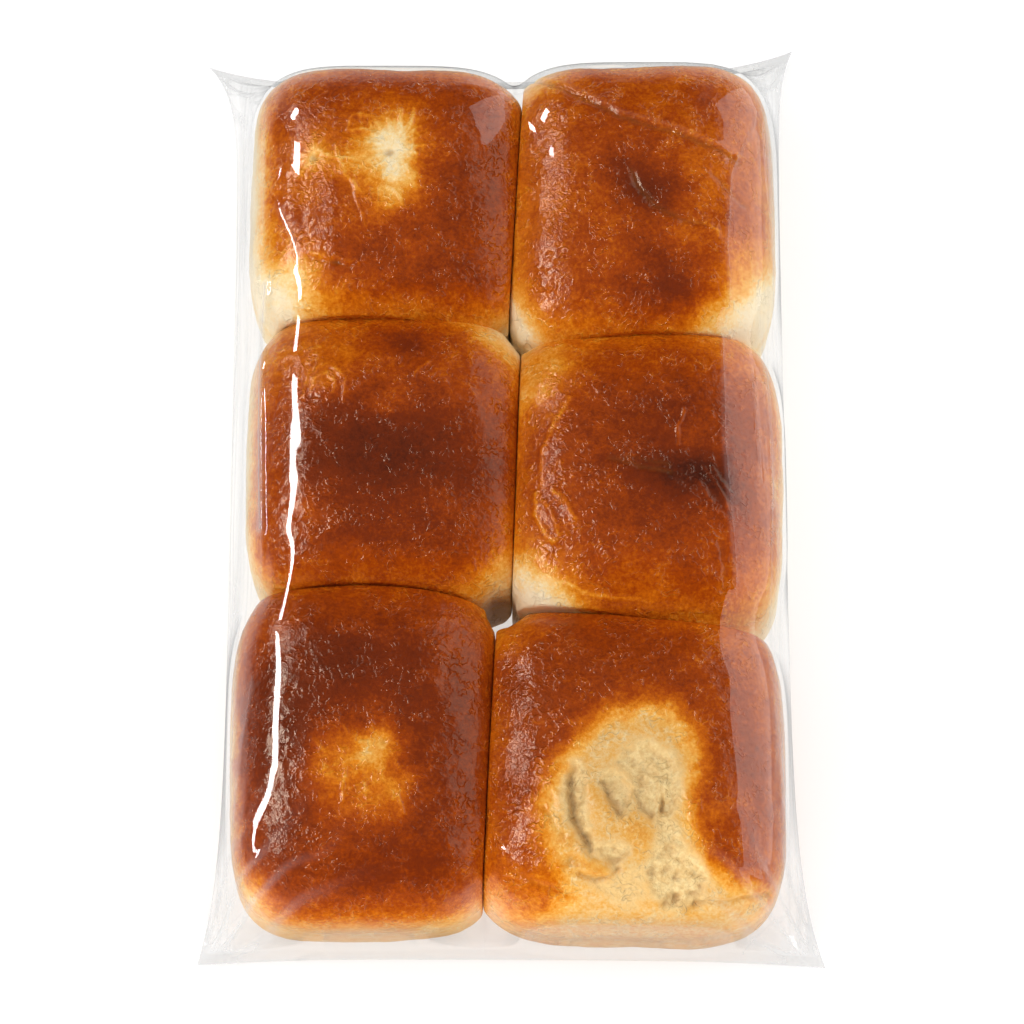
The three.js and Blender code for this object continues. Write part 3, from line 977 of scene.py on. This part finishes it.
def knobs(roll, points):
    """Doughy knobs in the corners where rolls meet, below the crust, and a deep dent at the open corner."""
    here = np.zeros(len(points))
    for x_side in roll.joins:
        for y_side in roll.joins:
            if x_side in ("west", "east") and y_side in ("north", "south"):
                corner = (getattr(roll, x_side), getattr(roll, y_side))
                here = np.maximum(here, spot(points[:, :2], corner, KNOB_RADIUS))
    below = 1 - smooth_step(points[:, 2] / roll.crown, 0.6, 0.74)
    knob = 0.5 + layered(points, roll.seed, KNOB_LAYERS)
    hole = spot(points[:, :2], OPEN_CORNER, 4.5) * smooth_step(points[:, 2], 8, 22)
    return here * below * knob - OPEN_DEPTH * hole


def torn_depth(plan):
    """Depth of the torn pits, in mm: each falls from its edge over the width of its wall."""
    pits = [
        depth * smooth_step(depth_inside(plan, edge), -0.2, wall) for depth, wall, _, edge in PITS
    ]
    return np.max(pits, axis=0)


def relief(roll, points, plan, on_top, bake, crumb):
    """Height to add along the normal, in mm, and how much painted shade each place gets, from 0 to 1, darker
    where shadow would gather. The slow lumps are pushed inwards so that they clear the film, and only the
    sharper marks get painted shade."""
    seed = roll.seed
    slow = -SUNK - SUNK_ON_TOP * smooth_step(points[:, 2] / roll.crown, 0.7, 0.9)
    slow += layered(points, seed, SLOW_LAYERS)
    skin = smooth_step(bake, 0.25, 0.6)
    height = skin * 0.12 * (ridges(points, 2.6, seed + 3) + 0.6 * lumps(points, 1.4, seed + 4))
    height += (1 - skin) * 0.08 * lumps(points, 1.8, seed + 5)
    for *place, rise in SWELLS[roll.name]:
        target = height if place[1] < SMALL else slow
        target += rise * spot(plan, *place) * on_top
    bend = bent(plan)
    for path, width, rise in LINES[roll.name]:
        height += rise * groove(bend, path, width) * on_top
    for at, radius, count, rise in PUCKERS.get(roll.name, []):
        height += rise * rays(plan, at, radius, count, seed) * on_top
    if roll.name == TORN_ROLL:
        slow -= 0.4 * smooth_step(tear_depth(points, plan), -1, 2) * on_top
        pits = torn_depth(bend) * on_top
        slow -= 0.85 * pits
        height -= 0.15 * pits
        for *place, rise, _ in TONGUES:
            slow += rise * spot(plan, *place) * on_top
    pores = smooth_step(lumps(points, 1.7, 63), 0.0, 0.7)
    pores += 0.7 * smooth_step(lumps(points, 3.2, 64), 0.1, 0.8)
    height -= crumb * (0.5 * pores + layered(points, 65, CRUMB_LAYERS))
    # painted shade: sharp dents, creases and pits are darkened by their depth, where shadow would gather
    hollow = np.clip(-height / DEEPEST, 0, 1)
    # the sunk torn place gets a little of the same painted shade, less where the crumb is open
    if roll.name == TORN_ROLL:
        torn = smooth_step(tear_depth(points, plan), 0, 4) * on_top
        hollow = np.maximum(hollow, (0.35 - 0.15 * crumb) * torn)
    # painted shade low down in the open hole where four rolls meet
    hollow = np.maximum(hollow, spot(points[:, :2], OPEN_CORNER, 7) * (1 - on_top))
    return soft_limit(slow + height, HIGHEST_RELIEF, 1, 0.12) + knobs(roll, points), hollow


# %% [markdown]
# ## Building the rolls
# Each roll gets everything in turn: its form, its browning, its open crumb, its relief, and last the joins
# that press it flat. The numbers that its material needs are stored on the mesh's points: how baked each
# place is, where the crumb is open, how much painted shade each place gets, and where the glaze is thick.

# %% Build the rolls
TOP_FROM, TOP_FULL = 0.5, 0.65  # marks of the top fade in between these shares of the crown's height
TRAY_FADE = 4  # relief fades out below this height, in mm, so that the underside stays flat


def make_piece(name, points, faces, numbers=()):
    """Makes a smooth mesh from points in mm and faces, gives it its numbers, and hangs it on the frame."""
    mesh = bpy.data.meshes.new(name)
    mesh.from_pydata(points * MM, [], [face for group in faces for face in group.tolist()])
    mesh.shade_smooth()
    for number, values in numbers:
        mesh.attributes.new(number, "FLOAT", "POINT").data.foreach_set("value", values.astype(np.float32))
    piece = bpy.data.objects.new(name, mesh)
    bpy.context.scene.collection.objects.link(piece)
    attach(piece, "root")
    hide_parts(BAG_NODE)
    return piece


def bake_roll(roll):
    """One finished roll: its form, moved along the normals by its relief, then pressed at its joins."""
    points, quads, cap = roll_form(roll)
    normals = point_normals(points, quads, cap)
    plan = points[:, :2] - roll.middle
    on_top = smooth_step(points[:, 2] / roll.crown, TOP_FROM, TOP_FULL)
    bake = browning(roll, points, plan, on_top)
    crumb = open_crumb(roll, points, plan, on_top)
    raised, hollow = relief(roll, points, plan, on_top, bake, crumb)
    above_tray = smooth_step(points[:, 2], FOOT_HEIGHT, TRAY_FADE)
    placed = press_flat(roll, points + normals * (raised * above_tray)[:, None])
    shine = np.max([s * spot(plan, *place) for *place, s in SHINES[roll.name]], axis=0) * on_top
    numbers = [("bake", bake), ("crumb", crumb), ("hollow", hollow), ("shine", shine)]
    return make_piece(roll.name, placed, (quads, cap), numbers)


roll_pieces = [bake_roll(roll) for roll in rolls]
for piece in roll_pieces:
    print(piece.name, len(piece.data.polygons), "faces")

# %% [markdown]
# ## Crust
# Milk rolls are brushed with egg before they bake. The egg browns to a thin glossy glaze over a skin that
# runs from cream through gold and orange to dark brown. One ramp turns bake into that colour, broken by
# noise at four sizes, down to flecks of half a millimetre.
# Roughness falls where the crust has browned. A bump breaks the shine into glints: hair-thin wrinkles,
# whose tips are also painted a little paler as a painted highlight, and facets where the glaze lies thick.
# Hollows and crumb pores get a painted shade, a darker colour where shadow would gather in them. Open crumb
# is matt and has its own two creams.

# %% Crust material
CRUST_STOPS = [
    (0.00, srgb(246, 228, 190)),
    (0.12, srgb(246, 214, 152)),
    (0.24, srgb(240, 178, 82)),
    (0.36, srgb(224, 136, 26)),
    (0.46, srgb(198, 98, 6)),
    (0.58, srgb(160, 64, 4)),
    (0.72, srgb(122, 44, 9)),
    (1.00, srgb(72, 28, 16)),
]
CRUMB_PALE = srgb(248, 221, 160)
CRUMB_DEEP = srgb(230, 192, 128)
# the colour of the painted shade in hollows and pores
HOLLOW_SHADE = srgb(140, 90, 40)
# sizes of the noises in metres: four for the colour, two for the hair-thin wrinkles and one for the facets
GRAIN, FLECK, STREAK, CLOUD = 0.0005, 0.0011, 0.0028, 0.008
HAIR, HAIR_PATCH, FACET = 0.0024, 0.006, 0.0021
BUMP_HEIGHT = 0.0003
MATT, GLAZE_SHINE = 0.5, 0.34  # roughness of the bare dough, and how much of it the glaze takes away


def crust_material():
    """Bake plus mottling through the ramp, then crumb and painted shade over it. Roughness falls with bake.
    """
    paint = bpy.data.materials.new("baked crust")
    bench = Bench(paint)
    place = bench.node("ShaderNodeTexCoord", {}, {}, output=3)
    bake = bench.attribute("bake")
    crumb = bench.attribute("crumb")
    hollow = bench.attribute("hollow")
    shine = bench.attribute("shine")
    grain = bench.noise(place, GRAIN, detail=1.0)
    fleck = bench.noise(place, FLECK, detail=2.0)
    streak = bench.noise(place, STREAK, detail=3.0, roughness=0.7)
    cloud = bench.noise(place, CLOUD, detail=3.0)
    hair = (1 - abs(bench.noise(place, HAIR, detail=1.0, roughness=0.5) * 2 - 1)) ** 10
    hair = hair * ((bench.noise(place, HAIR_PATCH, detail=2.0) - 0.46) * 7.0).clamped()
    # the hair-thin wrinkles are painted paler: a painted highlight on their tips
    mottled = bake + (fleck - 0.5) * 0.3 + (streak - 0.5) * 0.22 - hair * 0.1
    mottled = mottled + (cloud - 0.5) * 0.14 + (grain - 0.5) * 0.14
    skin = bench.node("ShaderNodeValToRGB", {"stops": CRUST_STOPS}, {0: mottled * (1 / MOST_BAKED)})
    inside = bench.mix(((fleck + streak - 0.8) * 2.6).clamped(), CRUMB_DEEP, CRUMB_PALE)
    # painted shade in the pores of the open crumb
    pore_shade = ((streak - 0.56) * 7.0).clamped() * crumb * 0.3
    # the painted shade of hollows and pores is mixed over the crust's colour
    colour = bench.mix((hollow * 0.55 + pore_shade).clamped(), bench.mix(crumb, skin, inside), HOLLOW_SHADE)
    glazed = ((bake - 0.14) * 4.0).clamped() * (1 - crumb)
    facet = bench.noise(place, FACET, detail=2.0, roughness=0.6)
    height = hair * 0.9 + fleck * 0.4 + grain * 0.15
    height = height + shine * (facet * 1.8 + fleck * 0.8) + crumb * fleck * 1.2
    bump = bench.node("ShaderNodeBump", {}, {"Strength": 1.0, "Distance": BUMP_HEIGHT, "Height": height})
    shader = bench.node(
        "ShaderNodeBsdfPrincipled",
        {},
        {
            "Base Color": colour,
            "Roughness": MATT - glazed * GLAZE_SHINE,
            "Specular IOR Level": 0.45,
            "Specular Tint": (1.0, 0.84, 0.66, 1),
            "Normal": bump,
        },
    )
    bench.node("ShaderNodeOutputMaterial", {}, {"Surface": shader})
    return paint


crust = crust_material()
for piece in roll_pieces:
    piece.data.materials.append(crust)
print("nodes in the crust's material:", len(crust.node_tree.nodes))

# %% [markdown]
# ## Film
# The film is a tube of clear plastic, pulled over the rolls and welded across both ends. It touches the
# crowns, spans the joins with a slight sag and runs straight down to its edges, so it has the form of a
# skin under tension that can't go through the crusts. That is what is solved here: each point of a grid
# moves to the mean of its neighbours, less a little sag, and never below the crust. The neighbours along
# the bag count more, because a bag is pulled harder lengthwise.
# The grid is crowded towards the edges, where the film turns most. The whole grid moves as two sets of
# points, like the colours of a chessboard, because then each set can be moved in one array sum.

# %% Outline and edges of the bag
HALF_LENGTH = 143.8
WAIST_WEST, WAIST_EAST = 81.8, 83.0
WAIST_MEAN = (WAIST_WEST + WAIST_EAST) / 2
EAR_OUT = {"south": (7.0, 8.7), "north": (9.9, 5.4)}  # how far the west and east corners flare
EAR_BACK = {"south": (0.8, 0.0), "north": (5.4, 0.0)}  # how far they stop short of the half length
FLARE = {"south": 22, "north": 12}  # the length over which the flare fades
BOW = {"south": 2.2, "north": 7.0}  # how far each end bows in between its ears
SEAL_WIDTH, SEAL_HEIGHT, EAR_LIFT = 3.2, 2.6, 1.6
SIDE_EDGE_HEIGHT, SIDE_EDGE_FADE = 9, 16  # the sides' pressed edge stands higher than the end seals
EDGE_THICK = 0.3
FLOOR_INSET = 9.5  # the flat face on the floor starts this far in from the edge
FILM_GAP = 0.9  # air between the film and the smooth crust
FILM_SAG = 0.012
LENGTHWISE = 4.0  # the film is pulled so many times harder along the bag than across it
ACROSS, ALONG, CROWD = 240, 330, 0.72  # the grid's cells, and how much they crowd at its edges
PULLS, PULL_AHEAD = 900, 1.9  # rounds of moving, and how far each move overshoots so that the film settles


def plan_place(s, t):
    """From -1..1 across and along to the bag's plan: half widths flare to the ears by e to the minus
    distance from the end over the flare, and the ends bow in between the ears by 1 - s^4."""
    fade = {"south": np.exp(-HALF_LENGTH * (1 + t) / FLARE["south"])}
    fade["north"] = np.exp(-HALF_LENGTH * (1 - t) / FLARE["north"])
    west = WAIST_WEST + sum(EAR_OUT[end][0] * fade[end] for end in fade)
    east = WAIST_EAST + sum(EAR_OUT[end][1] * fade[end] for end in fade)
    lean = (1 + s) / 2
    x = -west + (west + east) * lean
    bow = 1 - s**4
    ends = {
        end: HALF_LENGTH - (EAR_BACK[end][0] * (1 - lean) + EAR_BACK[end][1] * lean) - BOW[end] * bow
        for end in fade
    }
    y = -ends["south"] + (ends["south"] + ends["north"]) * (1 + t) / 2
    return x, y


def edge_height(s, t):
    """Height of the pressed edge: low at the end seals, higher along the sides, lifted at the ears."""
    near_end = np.exp(-HALF_LENGTH * (1 - np.abs(t)) / SIDE_EDGE_FADE)
    ear = EAR_LIFT * np.abs(s) ** 12 * near_end
    return SIDE_EDGE_HEIGHT + (SEAL_HEIGHT - SIDE_EDGE_HEIGHT) * near_end + ear


def crust_under(x, y):
    """Height of the highest smooth crust over each place, let out by the film's gap, or 0 beside it."""
    highest = np.zeros_like(x)
    for roll in rolls:
        dx, dy = x - roll.middle[0], y - roll.middle[1]
        reach_x, reach_y = roll.reach_towards(dx, dy, FILM_GAP)
        out = (np.abs(dx) / reach_x) ** PLAN_POWER + (np.abs(dy) / reach_y) ** PLAN_POWER
        inside = (x > roll.west - FILM_GAP) & (x < roll.east + FILM_GAP)
        inside &= (y > roll.south - FILM_GAP) & (y < roll.north + FILM_GAP) & (out < 1)
        full = (1 - np.minimum(out, 1) ** (DOME_POWER / PLAN_POWER)) ** (1 / DOME_POWER)
        widest = WIDEST * roll.crown
        height = widest + (roll.crown - widest) * full + FILM_GAP
        highest = np.where(inside, np.maximum(highest, height), highest)
    return highest


def crowded(p):
    """-1..1, crowded towards both ends: part p and part sine."""
    return (1 - CROWD) * p + CROWD * np.sin(p * np.pi / 2)


def pull_tight(x, y, s, t):
    """Heights of the tight film over the grid, by moving each half of a chessboard in turn."""
    floor = crust_under(x, y)
    fixed = (np.abs(s) > 1 - 1e-9) | (HALF_LENGTH * (1 - np.abs(t)) <= SEAL_WIDTH)
    height = np.where(fixed, edge_height(s, t) + EDGE_THICK / 2, np.maximum(floor, SIDE_EDGE_HEIGHT))
    inner = (slice(1, -1), slice(1, -1))
    step_w, step_e = (x[1:-1, 1:-1] - x[1:-1, :-2]), (x[1:-1, 2:] - x[1:-1, 1:-1])
    step_s, step_n = (y[1:-1, 1:-1] - y[:-2, 1:-1]), (y[2:, 1:-1] - y[1:-1, 1:-1])
    pull = [
        2 / (step_w * (step_w + step_e)),
        2 / (step_e * (step_w + step_e)),
        2 * LENGTHWISE / (step_s * (step_s + step_n)),
        2 * LENGTHWISE / (step_n * (step_s + step_n)),
    ]
    total = sum(pull)
    j, i = np.indices(total.shape)
    moves = [((i + j) % 2 == colour) & ~fixed[inner] for colour in (0, 1)]
    for _ in range(PULLS):
        for move in moves:
            beside = (height[1:-1, :-2], height[1:-1, 2:], height[:-2, 1:-1], height[2:, 1:-1])
            target = (sum(k * h for k, h in zip(pull, beside)) - FILM_SAG) / total
            here = height[inner]
            moved = np.maximum(floor[inner], here + PULL_AHEAD * (target - here))
            height[inner] = np.where(move, moved, here)
    return height


j, i = np.indices((ALONG + 1, ACROSS + 1))
film_s, film_t = crowded(2 * i / ACROSS - 1), crowded(2 * j / ALONG - 1)
film_x, film_y = plan_place(film_s, film_t)
film_z = pull_tight(film_x, film_y, film_s, film_t)
print("film rises to", round(float(film_z.max()), 1), "mm")

# %% [markdown]
# ## Slack in the film
# Film that was pulled perfectly tight would mirror the lamps in ruled lines. Real film keeps a little
# slack: it swims by a few tenths of a millimetre between the crowns, it has sharp folds where it was
# handled, and it gathers in fans at the four corners, where the flat weld meets the round rolls.

# %% Folds and waves
# folds in the film, as path, width and height
FOLDS = [
    ([(-71, 52), (-71.8, 40), (-72, 20), (-71.5, -6), (-71, -24)], 1.6, 1.6),
    ([(-66.5, 74), (-63, 66), (-60.5, 58)], 2.2, 0.45),
    ([(-72.1, 112), (-71.6, 85), (-71.6, 68)], 0.9, 0.5),
    ([(-70.6, -22), (-70.3, -42)], 0.9, 0.45),
    ([(-72, -70), (-75.5, -90), (-77, -112)], 1.2, 0.4),
    ([(2.6, 125.5), (20, 113), (34, 104), (51, 98.5), (69, 90)], 0.8, 0.2),
    ([(-15, 115), (4.7, 114), (16, 118)], 0.8, 0.3),
    ([(76.7, 111), (72.6, 99.6), (66.5, 84), (64.7, 63), (65.5, 45)], 1.3, 0.3),
    ([(63.3, 34), (62.7, 1.6), (64.6, -26), (65.8, -41)], 1.3, 0.3),
    ([(77, 106), (78, 80), (78.8, 53)], 0.7, 0.45),
    ([(71.5, 24), (73.5, -11)], 0.8, 0.4),
    ([(76.1, 20), (77.4, -17)], 0.6, 0.4),
    ([(77, -58), (78.6, -80), (78, -104)], 0.8, 0.45),
    ([(82.9, -118), (89.8, -139)], 0.8, 0.6),
    ([(80, -131.8), (68.2, -139.6)], 0.8, 0.5),
    ([(-81, 118), (-86, 128), (-90, 134)], 0.8, 0.5),
    ([(-77, 123.6), (-90, 131)], 0.7, 0.5),
    ([(73.4, 136.4), (81, 135), (87, 141)], 0.7, 0.5),
    ([(-88, -140), (-80, -134), (-73, -132)], 0.8, 0.5),
]
# broad bulges of the film, as place, radius, stretch, angle and height
BULGES = [
    ((-72, 76), 7, 2.2, 90, 2.2),
    ((-66, 116), 9, 2.0, 90, -1.6),
    ((-63, 39), 10, 1.2, 90, 2.0),
    ((-65, -43), 10, 1.3, 90, 2.0),
    ((-76, -118), 7, 2.4, 90, 2.4),
    ((-5, -115), 11, 2.0, 90, 3.4),
]
CORNER_FANS = {(-88.8, -143): 81, (91.7, -143.8): 82, (-91.7, 138.4): 83, (88.4, 143.8): 84}
SLACK_LAYERS = [(23, 0.34, 0), (9, 0.15, 1)]  # the film's swimming, as size, height and step of the seed
FAN_REACH, FAN_PLEATS = 24, 22
FOLD_HAZE, FAN_HAZE, PLEAT_HAZE, SEAL_HAZE = 0.5, 0.9, 0.6, 0.2
PLEATS_FROM, PLEATS_TO = 3, 12  # the side pleats fade out between these distances from the side, in mm
CLEAR_OF_CRUST = 0.3  # how far a fold may come into the 0.9 mm of air over the smooth crust


def add_slack(x, y, z, s, t):
    """The tight film with its waves, folds and corner fans, still clear of the crust and whole at the edge.
    Also gives its haze, from 0 to 1: how much a fold or a weld scatters light."""
    plan = np.column_stack([x.ravel(), y.ravel()])
    flat = level(plan)
    rise = layered(flat, 91, SLACK_LAYERS) - 0.2
    haze = np.zeros(len(plan))
    for path, width, height in FOLDS:
        fold = groove(plan, path, width)
        rise += height * fold
        haze += FOLD_HAZE * height * groove(plan, path, 0.45 * width)
    for *place, height in BULGES:
        rise += height * spot(plan, *place)
    for corner, seed in CORNER_FANS.items():
        fan = rays(plan, corner, FAN_REACH, FAN_PLEATS, seed)
        rise += fan
        haze += FAN_HAZE * fan + 0.25 * spot(plan, corner, 18)
    from_side = WAIST_MEAN * (1 - np.abs(s))
    from_seal = HALF_LENGTH * (1 - np.abs(t)) - SEAL_WIDTH
    # beside the rolls the film hangs in long slack pleats, which show as grey streaks
    streaks = ridges(flat * [1, 0.05, 1], 3.2, 94) + 0.6 * ridges(flat * [1, 0.04, 1], 1.3, 95)
    haze += PLEAT_HAZE * streaks * (1 - smooth_step(from_side.ravel(), PLEATS_FROM, PLEATS_TO))
    haze += SEAL_HAZE * (1 - smooth_step(from_seal.ravel(), 0, 2.5))
    loose = smooth_step(np.minimum(from_side, from_seal), 0, 5)
    slack = np.maximum(z + rise.reshape(z.shape) * loose, crust_under(x, y) - CLEAR_OF_CRUST * loose)
    weld = 0.3 * (1 - smooth_step(from_seal, -0.4, 0.4)) + 0.25 * (1 - smooth_step(from_side, 0, 1.0))
    return slack, np.clip(haze.reshape(z.shape) + weld, 0, 1)


film_z, film_haze = add_slack(film_x, film_y, film_z, film_s, film_t)
print("with its slack, the film rises to", round(float(film_z.max()), 1), "mm")

# %% [markdown]
# ## Closing the bag
# So far the film is one sheet. A real pack has a second one under the rolls, welded to the first round the
# edge. Here the sheet's rim turns under at the pressed edge, runs in a few millimetres below it and comes
# down to the table, where one flat face closes the bag. At the sides it runs in further than the rolls'
# feet do, so the feet reach through it by up to 2 mm, which shows only from low down.

# %% Close the bag


def close_bag(x, y, z, s, t):
    """The film above, then rings under the pressed edge and inside it, and one flat face on the floor."""
    count = x.size
    index = np.arange(count).reshape(x.shape)
    rim = outer_rim(index)
    rim_s, rim_t = s.ravel()[rim], t.ravel()[rim]
    rings = [rim]
    added = []
    under = edge_height(rim_s, rim_t) - EDGE_THICK / 2
    for inset, height in ((0, under), (SEAL_WIDTH, 0.72 * under), (FLOOR_INSET, 0 * under)):
        place = plan_place(rim_s * (1 - inset / WAIST_MEAN), rim_t * (1 - inset / HALF_LENGTH))
        rings.append(count + sum(len(a) for a in added) + np.arange(len(rim)))
        added.append(np.column_stack([*place, height]))
    points = np.vstack([np.column_stack([x.ravel(), y.ravel(), z.ravel()]), *added])
    loops = np.vstack(rings)
    loops = np.column_stack([loops, loops[:, 0]])
    return points, (grid_faces(index), grid_faces(loops[::-1]), rings[-1][None, ::-1])


bag_points, bag_faces = close_bag(film_x, film_y, film_z, film_s, film_t)
bag_haze = np.zeros(len(bag_points))
bag_haze[: film_haze.size] = film_haze.ravel()
film_piece = make_piece("clear_bag", bag_points, bag_faces, [("haze", bag_haze)])
print("film", len(film_piece.data.polygons), "faces")

# %% [markdown]
# ## Clear film
# Film this thin bends light too little to see, so it needs no refraction. Each place lets most light
# straight through and mirrors the rest. Seen square on, its two faces together mirror about a twentieth,
# and the share grows steeply as the film turns away from the eye.
# Folds and welds are full of tiny creases that scatter light, so they look grey on white and pale on brown.

# %% Film material
SQUARE_ON = 0.045  # share that the film mirrors when seen square on
FILM_PASSES = 0.99  # share of the rest that gets through
FILM_ROUGHNESS, SCATTERED = 0.04, 0.6
FULL_HAZE = 0.5  # share of the light that is scattered where the haze is 1


def film_material():
    """Mirrors a small share when seen square on, and more towards a glancing view, by the fifth power of
    how far it is turned away. It passes the rest, a little dimmed. Where it is folded or welded, a share
    of the light is scattered instead, which looks grey on white and pale on brown."""
    paint = bpy.data.materials.new("clear film")
    bench = Bench(paint)
    turned = bench.node("ShaderNodeLayerWeight", {}, {"Blend": 0.5}, output=1)
    share = SQUARE_ON + turned**5 * (1 - SQUARE_ON)
    clear_colour = (FILM_PASSES, FILM_PASSES, FILM_PASSES, 1)
    passed = bench.node("ShaderNodeBsdfTransparent", {}, {"Color": clear_colour})
    shine = bench.node("ShaderNodeBsdfGlossy", {}, {"Color": (1, 1, 1, 1), "Roughness": FILM_ROUGHNESS})
    clear = bench.node("ShaderNodeMixShader", {}, {0: share, 1: passed, 2: shine})
    scatter_colour = (SCATTERED, SCATTERED, SCATTERED, 1)
    scatter = bench.node("ShaderNodeBsdfDiffuse", {}, {"Color": scatter_colour})
    hazy = bench.attribute("haze") * FULL_HAZE
    film = bench.node("ShaderNodeMixShader", {}, {0: hazy, 1: clear, 2: scatter})
    bench.node("ShaderNodeOutputMaterial", {}, {"Surface": film})
    return paint


film_piece.data.materials.append(film_material())
print("nodes in the film's material:", len(film_piece.data.materials[0].node_tree.nodes))
